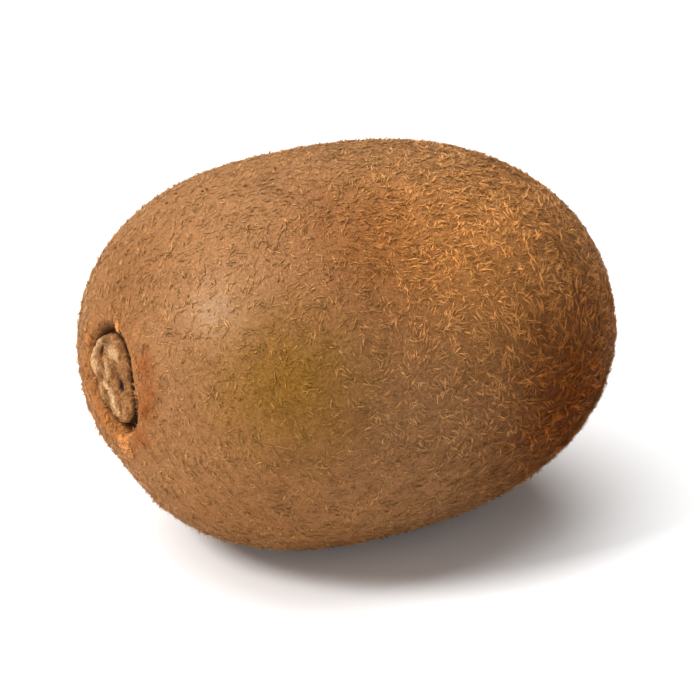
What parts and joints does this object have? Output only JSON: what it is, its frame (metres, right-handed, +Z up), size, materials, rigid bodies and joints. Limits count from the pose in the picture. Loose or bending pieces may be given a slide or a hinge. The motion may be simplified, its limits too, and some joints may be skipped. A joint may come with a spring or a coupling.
{
  "type": "kiwi fruit",
  "caption": "Whole kiwi fruit with fuzzy brown skin, a corky stem scar and dried styles, lying on its broad side.",
  "frame": {"origin": "on the surface that the fruit rests on, below the middle of its bounding box", "axes": "+X along the fruit from the stem end to the blossom end, +Z up"},
  "size_m": [0.0686, 0.0552, 0.048],
  "materials": {
    "fuzzy_skin": "matte brown skin under short golden-brown hair",
    "corky_scar": "rough pale cork with dark hollows",
    "dried_strand": "dry papery brown scraps and strands",
    "fuzz": "short soft hair with a light sheen"
  },
  "bodies": {
    "root": {"kiwi_fruit": "fuzzy_skin"}
  },
  "joints": []
}
